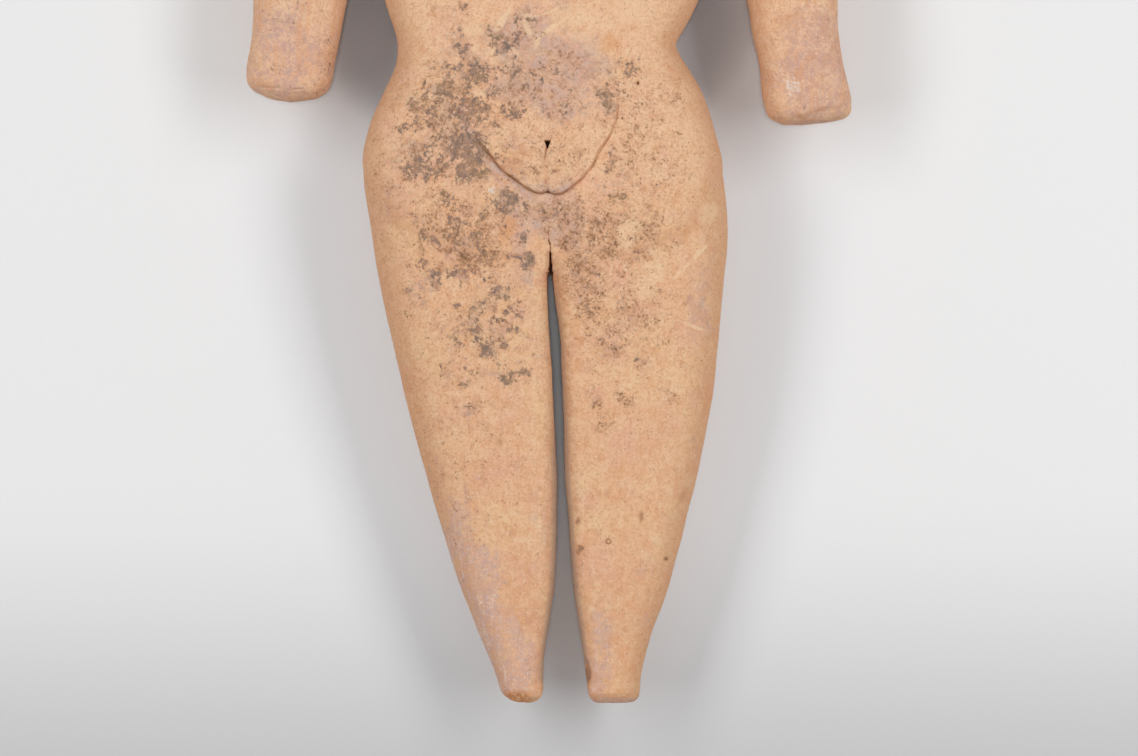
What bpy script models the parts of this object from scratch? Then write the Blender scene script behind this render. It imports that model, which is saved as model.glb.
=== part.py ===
"""Fertility figure of fired clay, lying on its back with its feet towards -Y.

One piece: a broad flattened torso with free hanging arms, tapering legs that end in blunt
stumps, and a plain head. Sizes are in millimetres. Heights run up the body from the soles to
the crown, and depths rise from the surface that the back lies on.
"""

import math

import bmesh
import bpy
from mathutils import Matrix, Vector

MM = 0.001

# Driving dimensions.
LENGTH = 430.0
CLAY_COLOUR = (0.70, 0.43, 0.26, 1.0)
CLAY_ROUGHNESS = 0.85

# How finely the clay is modelled before it is thinned to the final faces.
RING_SIDES = 56
RING_STEP = 2.5
VOXEL = 0.9
SMOOTHING_PASSES = 14
FACE_SHARE = 0.0175

# Each limb is a run of levels: height, low x edge, high x edge, back depth, front depth.
TORSO = (
    (166, -12, 13, 19, 29),  # between the thighs
    (172, -38, 38, 14, 38),
    (180, -57, 57, 8, 47),  # crotch
    (200, -70.0, 65.9, 3, 50),  # widest hips
    (216, -68.5, 63.2, 3, 51),
    (232, -62.0, 57.8, 4, 49),
    (241, -58.0, 52.6, 5, 47),
    (249, -57.4, 48.2, 6, 46),  # waist
    (254, -58.1, 50.5, 6.5, 45.5),
    (264, -61.1, 55.8, 7, 45),
    (282, -66.5, 63.5, 5, 46),
    (302, -75, 75, 1, 46),  # chest
    (322, -86, 86, -1, 44),
    (334, -80, 80, 3, 41),  # shoulder tops
    (343, -56, 56, 8, 38),
    (350, -26, 26, 11, 36),
)
RIGHT_LEG = (
    (0, -16.8, -1.8, 15, 34),  # sole
    (12, -20.3, -1.5, 14, 35),
    (24, -25.2, -0.4, 13, 36),
    (46, -34.0, 2.7, 11, 39),
    (80, -44.9, 3.6, 8.5, 42),
    (115, -54.0, 2.3, 6, 45),
    (155, -62.9, 0.4, 4, 48),
    (178, -67.1, 0.7, 3, 49),
    (200, -70.4, 1, 3, 50),
    (216, -68.4, 1, 6, 47),
)
LEFT_LEG = (
    (0, 15.2, 34.4, 15, 34),  # sole
    (12, 13.5, 35.5, 14, 35),
    (24, 12.2, 38.5, 13, 36),
    (46, 9.1, 46.2, 11, 39),
    (80, 6.4, 54.9, 8.5, 42),
    (115, 5.0, 61.9, 6, 45),
    (137, 3.8, 64.2, 5, 46.6),
    (155, 1.6, 65.9, 4, 48),
    (178, 0.3, 67.8, 3, 49),
    (200, 0, 66.1, 3, 50),
    (216, 0, 63.0, 6, 47),
)
RIGHT_ARM = (
    (228, -112.4, -83.3, 15, 36),  # blunt hand
    (238, -114.8, -82.1, 14, 37),
    (252, -112.6, -79.3, 13, 38),
    (272, -111.5, -75.6, 11, 39),
    (295, -110.4, -67, 8, 41),
    (318, -106, -50, 5, 43),
    (334, -95, -40, 6, 41),
    (343, -72, -36, 10, 37),  # shoulder
)
LEFT_ARM = (
    (219, 84.0, 115.1, 15, 36),  # blunt hand
    (230, 81.5, 114.4, 14, 37),
    (244, 80.3, 111.1, 13, 38),
    (254, 77.8, 109.7, 12, 38.5),
    (264, 76.3, 109.5, 11, 39),
    (292, 68.5, 109.2, 8, 41),
    (317, 50, 105.5, 5, 43),
    (334, 40, 95, 6, 41),
    (343, 36, 72, 10, 37),  # shoulder
)
NECK = (
    (330, -26, 26, 8, 40),
    (346, -19, 19, 9, 42),
    (366, -19, 19, 8, 46),
)

# How boxy each limb's section is: 2 is an ellipse, more is squarer.
TORSO_SQUARENESS = 3.2
LEG_SQUARENESS = 2.6
ARM_SQUARENESS = 3.1
NECK_SQUARENESS = 2.2

# Rounded masses: centre x, height and depth, then the three radii.
BUTTOCKS = [(side * 31, 202, 14, 33, 38, 15) for side in (-1, 1)]
BREASTS = [(side * 31, 298, 38, 20, 18, 15) for side in (-1, 1)]
SKULL = (0, 388, 29, 30, 36, 26)
JAW = (0, 369, 30, 22, 18, 21)
HAIR_CAP = (0, 396, 26, 34, 34, 27)
NOSE_BRIDGE = (0, 386, 53, 3.4, 13, 5)
NOSE_TIP = (0, 377, 54, 5.2, 4.4, 5.2)
EYES = [(side * 12, 391, 50.6, 6.2, 3.2, 3.4) for side in (-1, 1)]
LIPS = [(0, 367 + rise, 49.4, 8, 1.8, 3.0) for rise in (-1.5, 1.5)]
EARS = [(side * 30.5, 386, 29, 3.6, 9.5, 6.5) for side in (-1, 1)]

# The low swell of the pubis, and the groove that runs round its lower edge.
PUBIS = (-0.6, 217, 30, 42, 46, 22.4)
GROOVE = (
    (-27.0, 214.0),
    (-20.7, 205.2),
    (-12.4, 197.6),
    (-4.8, 192.6),
    (3.2, 192.4),
    (12.0, 196.8),
    (18.4, 204.0),
    (23.8, 214.3),
    (25.7, 224.0),
)
GROOVE_RADIUS = 1.6
CLEFT_LOW, CLEFT_HIGH, CLEFT_WIDTH = 193.0, 206.0, 1.2
PIERCING_HEIGHT, PIERCING_RADIUS, PIERCING_DEPTH = 209.0, 1.7, 12.0


def along_body(height):
    """Place of a height along Y, in metres, with the figure's middle at the origin."""
    return (height - LENGTH / 2) * MM


def at_height(levels, height):
    """Every size of a limb at a height, on a smooth curve through its levels."""
    levels = [Vector(level) for level in levels]
    low = max(
        i for i in range(len(levels) - 1) if levels[i][0] <= height or i == 0
    )

    def slope(i):
        before, after = levels[max(i - 1, 0)], levels[min(i + 1, len(levels) - 1)]
        return (after - before) / (after[0] - before[0])

    start, end = levels[low], levels[low + 1]
    span = end[0] - start[0]
    t = (height - start[0]) / span
    return (
        start * (2 * t**3 - 3 * t**2 + 1)
        + slope(low) * span * (t**3 - 2 * t**2 + t)
        + end * (3 * t**2 - 2 * t**3)
        + slope(low + 1) * span * (t**3 - t**2)
    )[1:]


def loft(clay, levels, squareness, end_radii):
    """Adds a closed limb to the clay: superelliptic rings through its levels, with rounded ends."""
    first, last = levels[0][0], levels[-1][0]
    count = max(8, round((last - first) / RING_STEP))
    heights = [first + (last - first) * (1 - math.cos(math.pi * i / count)) / 2 for i in range(count + 1)]
    rings = []
    for height in heights:
        low_x, high_x, back, front = at_height(levels, height)
        inset = 0.0
        for distance, radius in zip((height - first, last - height), end_radii):
            if distance < radius:
                inset = max(inset, radius - math.sqrt(radius**2 - (radius - distance) ** 2))
        half_width = (high_x - low_x) / 2 - inset
        half_depth = (front - back) / 2 - inset
        ring = []
        for side in range(RING_SIDES):
            turn = 2 * math.pi * side / RING_SIDES
            across, up = (
                math.copysign(abs(part) ** (2 / squareness), part)
                for part in (math.cos(turn), math.sin(turn))
            )
            ring.append(
                clay.verts.new(
                    (
                        ((low_x + high_x) / 2 + half_width * across) * MM,
                        along_body(height),
                        ((back + front) / 2 + half_depth * up) * MM,
                    )
                )
            )
        rings.append(ring)
    for below, above in zip(rings, rings[1:]):
        for side in range(RING_SIDES):
            after = (side + 1) % RING_SIDES
            clay.faces.new((below[side], above[side], above[after], below[after]))
    clay.faces.new(rings[0])
    clay.faces.new(reversed(rings[-1]))


def mass(clay, x, height, depth, across, along, deep):
    """Adds a rounded mass to the clay."""
    place = Matrix.Translation((x * MM, along_body(height), depth * MM))
    size = Matrix.Diagonal((across * MM, along * MM, deep * MM, 1))
    bmesh.ops.create_uvsphere(clay, u_segments=36, v_segments=24, radius=1, matrix=place @ size)


def front_depth(x, height):
    """Depth of the pubis's surface at a point, in millimetres."""
    centre_x, centre_height, depth, across, along, deep = PUBIS
    out = ((x - centre_x) / across) ** 2 + ((height - centre_height) / along) ** 2
    bulge = depth + deep * math.sqrt(max(0.0, 1 - out))
    low_x, high_x, back, front = at_height(TORSO, height)
    aside = abs((x - (low_x + high_x) / 2) / ((high_x - low_x) / 2))
    power = TORSO_SQUARENESS
    flank = (back + front) / 2 + (front - back) / 2 * (1 - aside**power) ** (1 / power)
    return max(bulge, flank)


def in_collection(name, obj):
    """Moves a new object into the named collection."""
    collection = bpy.data.collections.get(name)
    if collection is None:
        collection = bpy.data.collections.new(name)
        bpy.context.scene.collection.children.link(collection)
    for old in obj.users_collection:
        old.objects.unlink(obj)
    collection.objects.link(obj)
    return obj


def as_cutter(obj):
    """Hides a cutter from the render and files it away."""
    obj.hide_render = True
    obj.display_type = "WIRE"
    return in_collection("cutters", obj)


def groove_cutter():
    """A bent round bar along the lower edge of the pubis."""
    route = bpy.data.curves.new("groove_route", "CURVE")
    route.dimensions = "3D"
    route.bevel_depth = GROOVE_RADIUS * MM
    route.bevel_resolution = 1
    route.use_fill_caps = True
    points = [(height, x) for x, height in GROOVE]
    spline = route.splines.new("POLY")
    spline.points.add(len(points) - 1)
    for point, (height, x) in zip(spline.points, points):
        sunk = front_depth(x, height) + GROOVE_RADIUS * 0.25
        point.co = (x * MM, along_body(height), sunk * MM, 1)
    bar = bpy.data.objects.new("groove_bar", route)
    bpy.context.scene.collection.objects.link(bar)
    bpy.context.view_layer.update()
    graph = bpy.context.evaluated_depsgraph_get()
    mesh = bpy.data.meshes.new_from_object(bar.evaluated_get(graph))
    welded = bmesh.new()
    welded.from_mesh(mesh)
    bmesh.ops.remove_doubles(welded, verts=welded.verts, dist=1e-6)
    bmesh.ops.recalc_face_normals(welded, faces=welded.faces)
    welded.to_mesh(mesh)
    welded.free()
    bpy.data.objects.remove(bar)
    return as_cutter(bpy.data.objects.new("groove_cutter", mesh))


def cleft_cutter():
    """A narrow wedge that parts the pubis below its piercing."""
    middle = (CLEFT_LOW + CLEFT_HIGH) / 2
    bpy.ops.mesh.primitive_cylinder_add(
        vertices=3,
        radius=CLEFT_WIDTH * MM,
        depth=(CLEFT_HIGH - CLEFT_LOW) * MM,
        location=(PUBIS[0] * MM, along_body(middle), (front_depth(0, middle) - 0.2) * MM),
        rotation=(math.radians(-90), 0, 0),
    )
    cutter = bpy.context.object
    cutter.name = "cleft_cutter"
    return as_cutter(cutter)


def piercing_cutter():
    """A small tapering hole at the head of the cleft."""
    surface = front_depth(0, PIERCING_HEIGHT)
    bpy.ops.mesh.primitive_cone_add(
        vertices=12,
        radius1=PIERCING_RADIUS * 0.4 * MM,
        radius2=PIERCING_RADIUS * MM,
        depth=PIERCING_DEPTH * MM,
        location=(PUBIS[0] * MM, along_body(PIERCING_HEIGHT), (surface + 1 - PIERCING_DEPTH / 2) * MM),
    )
    cutter = bpy.context.object
    cutter.name = "piercing_cutter"
    return as_cutter(cutter)


def resting_cutter():
    """A block under the figure, which flattens the spots that it lies on."""
    thickness = 20.0
    bpy.ops.mesh.primitive_cube_add(size=1, location=(0, 0, -thickness / 2 * MM))
    cutter = bpy.context.object
    cutter.name = "resting_cutter"
    cutter.scale = (LENGTH * MM, 1.2 * LENGTH * MM, thickness * MM)
    bpy.ops.object.transform_apply(location=False, rotation=False, scale=True)
    return as_cutter(cutter)


def clay_material():
    material = bpy.data.materials.new("fired_clay")
    material.use_nodes = True
    shader = material.node_tree.nodes["Principled BSDF"]
    shader.inputs["Base Color"].default_value = CLAY_COLOUR
    shader.inputs["Roughness"].default_value = CLAY_ROUGHNESS
    shader.inputs["Metallic"].default_value = 0.0
    return material


def modelled_clay():
    """The limbs and masses pressed together into one smooth skin, as a new object."""
    clay = bmesh.new()
    loft(clay, TORSO, TORSO_SQUARENESS, (5, 4))
    loft(clay, RIGHT_LEG, LEG_SQUARENESS, (5, 8))
    loft(clay, LEFT_LEG, LEG_SQUARENESS, (3, 8))
    loft(clay, RIGHT_ARM, ARM_SQUARENESS, (7, 9))
    loft(clay, LEFT_ARM, ARM_SQUARENESS, (5, 9))
    loft(clay, NECK, NECK_SQUARENESS, (1, 1))
    for rounded in (SKULL, JAW, HAIR_CAP, NOSE_BRIDGE, NOSE_TIP, PUBIS):
        mass(clay, *rounded)
    for rounded in BUTTOCKS + BREASTS + EYES + LIPS + EARS:
        mass(clay, *rounded)
    bmesh.ops.recalc_face_normals(clay, faces=clay.faces)
    mesh = bpy.data.meshes.new("figure")
    clay.to_mesh(mesh)
    clay.free()
    figure = in_collection("fertility_figure", bpy.data.objects.new("figure", mesh))
    skin = figure.modifiers.new("skin", "REMESH")
    skin.mode = "VOXEL"
    skin.voxel_size = VOXEL * MM
    skin.use_smooth_shade = True
    smooth = figure.modifiers.new("smooth", "SMOOTH")
    smooth.factor = 0.5
    smooth.iterations = SMOOTHING_PASSES
    thin = figure.modifiers.new("thin", "DECIMATE")
    thin.ratio = FACE_SHARE
    return figure


def main():
    for old in list(bpy.data.objects):
        bpy.data.objects.remove(old)
    figure = modelled_clay()
    figure.data.materials.append(clay_material())
    for cutter in (groove_cutter(), cleft_cutter(), piercing_cutter(), resting_cutter()):
        cut = figure.modifiers.new(cutter.name, "BOOLEAN")
        cut.operation = "DIFFERENCE"
        cut.object = cutter


main()
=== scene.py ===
import functools
import itertools
import math

import bmesh
import bpy
import numpy as np
from mathutils import Matrix, Vector


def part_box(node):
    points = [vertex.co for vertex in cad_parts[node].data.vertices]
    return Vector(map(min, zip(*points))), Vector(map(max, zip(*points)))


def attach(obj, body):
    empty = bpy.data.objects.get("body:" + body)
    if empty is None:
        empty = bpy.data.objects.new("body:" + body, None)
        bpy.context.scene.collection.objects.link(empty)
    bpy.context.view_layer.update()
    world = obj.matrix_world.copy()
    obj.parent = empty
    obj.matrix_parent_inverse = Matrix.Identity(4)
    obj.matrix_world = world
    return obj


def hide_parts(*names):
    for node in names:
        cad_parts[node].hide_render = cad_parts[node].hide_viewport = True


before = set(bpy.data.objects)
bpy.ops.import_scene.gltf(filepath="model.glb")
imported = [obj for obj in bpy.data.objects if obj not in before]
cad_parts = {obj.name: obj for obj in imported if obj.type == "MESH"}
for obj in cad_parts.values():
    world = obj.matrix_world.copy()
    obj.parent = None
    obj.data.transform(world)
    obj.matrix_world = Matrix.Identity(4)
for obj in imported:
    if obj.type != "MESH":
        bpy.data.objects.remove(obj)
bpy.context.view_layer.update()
mm = 0.001

# Where the figure lies: heights run up its body from the soles, depths rise from its back.
lowCorner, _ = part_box("figure")
soleY = lowCorner.y
backZ = lowCorner.z

# The clay body, in millimetres. Each limb is a run of levels:
# height, low x edge, high x edge, back depth, front depth.
limbs = {
    "torso": {
        "squareness": 3.2,
        "endRadii": (5, 4),
        "levels": (
            (166, -12, 13, 19, 29),  # between the thighs
            (172, -38, 38, 14, 38),
            (180, -57, 57, 8, 47),  # crotch
            (200, -70.0, 65.9, 3, 50),  # widest hips
            (216, -68.5, 63.2, 3, 51), (232, -62.0, 57.8, 4, 49), (241, -58.0, 52.6, 5, 47),
            (249, -57.4, 48.2, 6, 46),  # waist
            (254, -58.1, 50.5, 6.5, 45.5), (264, -61.1, 55.8, 7, 45), (282, -66.5, 63.5, 5, 46),
            (302, -75, 75, 1, 46),  # chest
            (322, -86, 86, -1, 44),
            (334, -80, 80, 3, 41),  # shoulder tops
            (343, -56, 56, 8, 38),
            (350, -26, 26, 11, 36),
        ),
    },
    "web": {
        "squareness": 6,
        "endRadii": (1.0, 4),
        "levels": (
            (162.6, -5.5, 7.2, 19, 46.4),  # where the thighs part
            (167, -6.5, 8.0, 18, 47.4), (174, -9, 9.5, 17, 48.1), (183, -15, 15, 16, 48.7),
            (194, -20, 20, 14, 49.2),
        ),
    },
    "rightLeg": {
        "squareness": 2.6,
        "innerSide": 1,
        "endRadii": (5.4, 8),
        "levels": (
            (0, -16.8, -1.8, 15, 34),  # sole
            (12, -20.3, -1.5, 14, 35), (24, -25.2, -0.4, 13, 36), (46, -34.0, 2.7, 11, 39),
            (80, -44.9, 3.6, 8.5, 42), (115, -54.0, 2.3, 6, 45), (155, -62.9, 0.4, 4, 48),
            (178, -67.1, 0.7, 3, 49), (200, -70.4, 1, 3, 50), (216, -68.4, 1, 6, 47),
        ),
    },
    "leftLeg": {
        "squareness": 2.6,
        "innerSide": -1,
        "endRadii": (3.5, 8),
        "levels": (
            (0, 15.2, 34.4, 15, 34),  # sole
            (12, 13.5, 35.5, 14, 35), (24, 12.2, 38.5, 13, 36), (46, 9.1, 46.2, 11, 39),
            (80, 6.4, 54.9, 8.5, 42), (115, 5.0, 61.9, 6, 45), (137, 3.8, 64.2, 5, 46.6),
            (155, 1.6, 65.9, 4, 48), (178, 0.3, 67.8, 3, 49), (200, 0, 66.1, 3, 50),
            (216, 0, 63.0, 6, 47),
        ),
    },
    "rightArm": {
        "squareness": 3.1,
        "endRadii": (7.5, 9),
        "levels": (
            (228, -112.4, -83.3, 15, 36),  # blunt hand
            (238, -114.8, -82.1, 14, 37), (252, -112.6, -79.3, 13, 38),
            (272, -111.5, -75.6, 11, 39), (295, -110.4, -67, 8, 41), (318, -106, -50, 5, 43),
            (334, -95, -40, 6, 41),
            (343, -72, -36, 10, 37),  # shoulder
        ),
    },
    "leftArm": {
        "squareness": 3.1,
        "endRadii": (5, 9),
        "levels": (
            (219, 84.0, 115.1, 15, 36),  # blunt hand
            (230, 81.5, 114.4, 14, 37), (244, 80.3, 111.1, 13, 38), (254, 77.8, 109.7, 12, 38.5),
            (264, 76.3, 109.5, 11, 39), (292, 68.5, 109.2, 8, 41), (317, 50, 105.5, 5, 43),
            (334, 40, 95, 6, 41),
            (343, 36, 72, 10, 37),  # shoulder
        ),
    },
    "neck": {
        "squareness": 2.2,
        "endRadii": (1, 1),
        "levels": (
            (330, -26, 26, 8, 40), (346, -19, 19, 9, 42), (366, -19, 19, 8, 46),
        ),
    },
}

# Rounded lumps: centre x, height and depth, then the three radii. A pair stands at both sides.
lumps = {
    "skull": (0, 388, 29, 30, 36, 26),
    "hairCap": (0, 396, 26, 33, 33.5, 26.5),
    "jaw": (0, 369, 30, 22, 18, 21),
    "noseBridge": (0, 386, 53, 3.0, 13, 5),
    "noseTip": (0, 377, 54, 4.6, 4.4, 5.2),
    "upperLip": (0, 368.4, 49.2, 7.6, 1.7, 2.8),
    "lowerLip": (0, 365.2, 48.8, 6.8, 1.8, 2.8),
    "pubis": (-0.6, 217, 30, 42, 46, 22.4),
    "webDrip": (2.2, 161.6, 37, 0.9, 3.0, 8),
}
pairedLumps = {
    "buttock": (31, 202, 14, 33, 38, 15),
    "breast": (31, 298, 38, 20, 18, 15),
    "ear": (30.5, 387, 28, 3.4, 8.5, 6),
}

skin = {
    "ringSides": 96,
    "ringStep": 1.6,
    "voxel": 0.58,
    "innerSquareness": 7.5,  # the thighs' facing edges are crisper
    "innerLean": 1.1,  # and their facing sides draw back behind those edges
    "blendRounds": 150,  # how far neighbouring limbs melt into each other
    "faces": 192000,
    "seed": 41,
}


def placed(name, data):
    piece = bpy.data.objects.new(name, data)
    bpy.context.scene.collection.objects.link(piece)
    return piece


def inPlace(x, height, depth):
    return Vector((x * mm, soleY + height * mm, backZ + depth * mm))


def sizesAt(levels, height):
    # Every size of a limb at a height, on a smooth curve through its levels.
    rows = [Vector(level) for level in levels]
    low = max(i for i in range(len(rows) - 1) if rows[i][0] <= height or i == 0)

    def slope(i):
        before, after = rows[max(i - 1, 0)], rows[min(i + 1, len(rows) - 1)]
        return (after - before) / (after[0] - before[0])

    start, end = rows[low], rows[low + 1]
    span = end[0] - start[0]
    t = (height - start[0]) / span
    return (
        start * (2 * t**3 - 3 * t**2 + 1)
        + slope(low) * span * (t**3 - 2 * t**2 + t)
        + end * (3 * t**2 - 2 * t**3)
        + slope(low + 1) * span * (t**3 - t**2)
    )[1:]


def addLimb(clay, limb):
    # A closed limb: soft rectangular rings through its levels, with rounded ends.
    levels = limb["levels"]
    first, last = levels[0][0], levels[-1][0]
    count = max(8, round((last - first) / skin["ringStep"]))
    rings = []
    for step in range(count + 1):
        height = first + (last - first) * (1 - math.cos(math.pi * step / count)) / 2
        lowX, highX, back, front = sizesAt(levels, height)
        inset = 0.0
        for distance, radius in zip((height - first, last - height), limb["endRadii"]):
            if distance < radius:
                inset = max(inset, radius - math.sqrt(radius**2 - (radius - distance) ** 2))
        halfWidth = (highX - lowX) / 2 - inset
        halfDepth = (front - back) / 2 - inset
        ring = []
        for side in range(skin["ringSides"]):
            turn = math.tau * side / skin["ringSides"]
            inner = math.cos(turn) * limb.get("innerSide", 0) > 0
            power = 2 / (skin["innerSquareness"] if inner else limb["squareness"])
            across, up = (
                math.copysign(abs(part) ** power, part) for part in (math.cos(turn), math.sin(turn))
            )
            x = (lowX + highX) / 2 + halfWidth * across
            if inner:
                x -= limb["innerSide"] * skin["innerLean"] * (1 - up) * min(1, abs(across) * 2)
            ring.append(clay.verts.new(inPlace(x, height, (back + front) / 2 + halfDepth * up)))
        rings.append(ring)
    for below, above in zip(rings, rings[1:]):
        for side in range(len(below)):
            after = (side + 1) % len(below)
            clay.faces.new((below[side], above[side], above[after], below[after]))
    clay.faces.new(rings[0])
    clay.faces.new(reversed(rings[-1]))


def addLump(clay, x, height, depth, across, along, deep):
    size = Matrix.Diagonal((across * mm, along * mm, deep * mm, 1))
    place = Matrix.Translation(inPlace(x, height, depth))
    bmesh.ops.create_uvsphere(clay, u_segments=64, v_segments=40, radius=1, matrix=place @ size)


def pressedClay():
    # All the limbs and lumps in one skin of even small faces.
    clay = bmesh.new()
    for limb in limbs.values():
        addLimb(clay, limb)
    for lump in lumps.values():
        addLump(clay, *lump)
    for x, *rest in pairedLumps.values():
        addLump(clay, x, *rest)
        addLump(clay, -x, *rest)
    bmesh.ops.recalc_face_normals(clay, faces=clay.faces)
    mesh = bpy.data.meshes.new("pressedClay")
    clay.to_mesh(mesh)
    clay.free()
    lump = placed("pressedClay", mesh)
    remesh = lump.modifiers.new("skin", "REMESH")
    remesh.mode = "VOXEL"
    remesh.voxel_size = skin["voxel"] * mm
    return applied(lump)


def applied(obj):
    # The object's mesh with its modifiers applied. The object itself goes.
    graph = bpy.context.evaluated_depsgraph_get()
    mesh = bpy.data.meshes.new_from_object(obj.evaluated_get(graph))
    bpy.data.objects.remove(obj)
    return mesh


def readAll(items, name, kind=np.float32, width=3):
    values = np.empty(len(items) * width, kind)
    items.foreach_get(name, values)
    return values.reshape(-1, width)


def readPoints(mesh):
    # The vertices in the figure's own millimetres: x, height, depth.
    return (readAll(mesh.vertices, "co").astype(float) - (0, soleY, backZ)) / mm


def writePoints(mesh, points):
    places = (points * mm + (0, soleY, backZ)).astype(np.float32)
    mesh.vertices.foreach_set("co", places.ravel())
    mesh.update()


def readNormals(mesh):
    return readAll(mesh.vertex_normals, "vector").astype(float)


def readEdges(mesh):
    return readAll(mesh.edges, "vertices", np.int32, 2)


def rise(low, high, value):
    # 0 below low, 1 above high, and a soft step between.
    t = np.clip((value - low) / (high - low), 0, 1)
    return t * t * (3 - 2 * t)


def within(low, high, soft, value):
    return rise(low - soft, low, value) * (1 - rise(high, high + soft, value))


def bell(distance, width):
    return np.exp(-((distance / width) ** 2))


def relax(points, edges, strength, rounds):
    # Draws each point towards the middle of its neighbours.
    near = strength > 0.01
    edges = edges[near[edges].any(1)]
    ends = np.concatenate((edges[:, 0], edges[:, 1]))
    starts = np.concatenate((edges[:, 1], edges[:, 0]))
    used, ends = np.unique(ends, return_inverse=True)
    starts = np.searchsorted(used, starts)
    share = np.bincount(ends, minlength=len(used))
    pull = strength[used] * 0.6
    local = points[used]
    for _ in range(rounds):
        for axis in range(3):
            middle = np.bincount(ends, local[starts, axis], len(used)) / share
            local[:, axis] += (middle - local[:, axis]) * pull
    points[used] = local
    return points


class LumpyNoise:
    # Smooth seeded noise between -1 and 1, read at many points at once.
    def __init__(self, seed):
        self.values = np.random.default_rng(seed).uniform(-1, 1, 8192)

    def __call__(self, points, size):
        spots = points / size
        cell = np.floor(spots).astype(np.int64)
        part = spots - cell
        part = part * part * (3 - 2 * part)
        total = np.zeros(len(points))
        for corner in itertools.product((0, 1), repeat=3):
            at = cell + corner
            pick = (at[:, 0] * 73856093) ^ (at[:, 1] * 19349663) ^ (at[:, 2] * 83492791)
            weight = np.prod(np.where(np.array(corner) == 1, part, 1 - part), axis=1)
            total += weight * self.values[pick % len(self.values)]
        return total


marks = {
    # The lower edge of the pubis: places along it, how proud the inner side stands there,
    # and how deep its drawn line is.
    "ledge": (
        (-29.5, 221.0, 0.0, 0.0), (-26.9, 213.4, 0.35, 0.1), (-24.4, 209.5, 0.9, 0.5),
        (-21.3, 206.1, 1.25, 1.0), (-18.6, 202.6, 1.3, 1.25), (-16.6, 200.4, 1.35, 0.85),
        (-12.7, 197.5, 1.35, 1.0), (-8.6, 194.6, 1.45, 0.8), (-5.4, 192.7, 1.5, 1.2),
        (-2.6, 192.0, 1.45, 1.3), (-0.2, 192.6, 1.3, 1.3), (2.3, 191.7, 1.35, 1.3),
        (4.9, 192.0, 1.25, 1.2), (8.2, 194.1, 1.0, 0.85), (11.8, 197.1, 0.85, 0.9),
        (14.2, 199.9, 0.75, 0.5), (16.3, 202.1, 0.85, 0.9), (18.4, 206.7, 0.8, 0.6),
        (21.6, 211.6, 0.75, 0.85), (23.4, 215.3, 0.65, 0.5), (25.2, 220.0, 0.5, 0.8),
        (25.6, 227.0, 0.25, 0.45), (25.2, 233.0, 0.0, 0.0),
    ),
    "ledgeReach": 9.0,
    "hollowReach": 3.4,
    "grooveDepth": 0.8,
    "grooveWidth": 0.36,
    # The cleft: x, height, depth and half-width.
    "cleft": (
        (-0.4, 209.0, 0.9, 0.5), (-0.9, 206.5, 0.85, 0.42), (-1.2, 203.6, 0.6, 0.38),
        (-1.3, 200.5, 0.35, 0.4), (-1.1, 197.6, 0.4, 0.45), (-0.6, 195.6, 0.8, 0.55),
    ),
    # Holes wide at the top that close to a point: x, top, bottom, width, depth.
    "piercings": (
        (-0.2, 211.3, 208.1, 2.5, 9.0),
        (0.0, 193.8, 191.9, -1.3, 0.9),
    ),
    # The crack where the thighs part: x, height, depth, half-width.
    "crotchCrack": (
        (-0.1, 180.3, 0.0, 0.3), (0.2, 178.4, 0.5, 0.25), (0.0, 177.2, 0.9, 0.3),
        (0.45, 175.6, 0.6, 0.22), (0.2, 174.4, 1.0, 0.3), (0.8, 172.8, 2.0, 0.34),
    ),
    "slit": ((0.75, 173.2, 0.12), (0.8, 170.0, 0.36), (0.95, 166.5, 0.52), (1.05, 160.5, 0.95)),
    "slitDepth": 12.0,
    # Pricked holes and one ring: x, height, ring radius, width, depth, and how dark they are
    # painted.
    "pricks": (
        (33.5, 233.1, 0, 0.6, 2.4, 1.4), (-16.5, 271.0, 0, 0.5, 1.0, 0.8),
        (44.4, 55.0, 0, 1.1, 0.35, 0.85), (22.6, 61.8, 0.85, 0.45, 0.35, 0.74),
    ),
}


def alongRoute(route, step):
    # Evenly spaced samples of a smooth curve through the points of a route.
    rows = [Vector(row).to_tuple() for row in route]
    rows = np.array([rows[0]] + rows + [rows[-1]])
    found = []
    for before, start, end, after in zip(rows, rows[1:], rows[2:], rows[3:]):
        count = max(2, int(np.linalg.norm((end - start)[:2]) / step))
        for t in np.arange(count)[:, None] / count:
            found.append(
                0.5
                * (
                    2 * start
                    + (end - before) * t
                    + (2 * before - 5 * start + 4 * end - after) * t**2
                    + (3 * start - before - 3 * end + after) * t**3
                )
            )
    return np.array(found)


def fromMark(points, name, step=0.4):
    # For each point: its distance from a mark's route, its side of it (left is positive),
    # and the mark's own sizes at the nearest place.
    samples = alongRoute(marks[name], step)
    ways = np.gradient(samples[:, :2], axis=0)
    ways /= np.linalg.norm(ways, axis=1)[:, None]
    offsets = points[:, None, :2] - samples[None, :, :2]
    nearest = (offsets**2).sum(2).argmin(1)
    offset = offsets[np.arange(len(points)), nearest]
    way = ways[nearest]
    side = way[:, 0] * offset[:, 1] - way[:, 1] * offset[:, 0]
    return np.linalg.norm(offset, axis=1), side, samples[nearest, 2:].T


def markZone(points):
    # Where the narrowest marks need the smallest faces.
    x, h, z = points.T
    front = z > 30
    zone = front & (np.abs(x) < 4.2) & (h > 159) & (h < 215)
    near = front & (np.abs(x) < 34) & (h > 186) & (h < 238)
    distance, _, _ = fromMark(points[near], "ledge", 1.0)
    zone[near] |= distance < 2.4
    return zone


def fineZone(points):
    # Other worked places with smaller faces.
    x, h, z = points.T
    face = (z > 33) & (h > 356) & (h < 404) & (np.abs(x) < 27)
    handEnds = (np.abs(x) > 78) & (h < 236) & (z > 12)
    return markZone(points) | face | handEnds | (h < 14)


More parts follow.
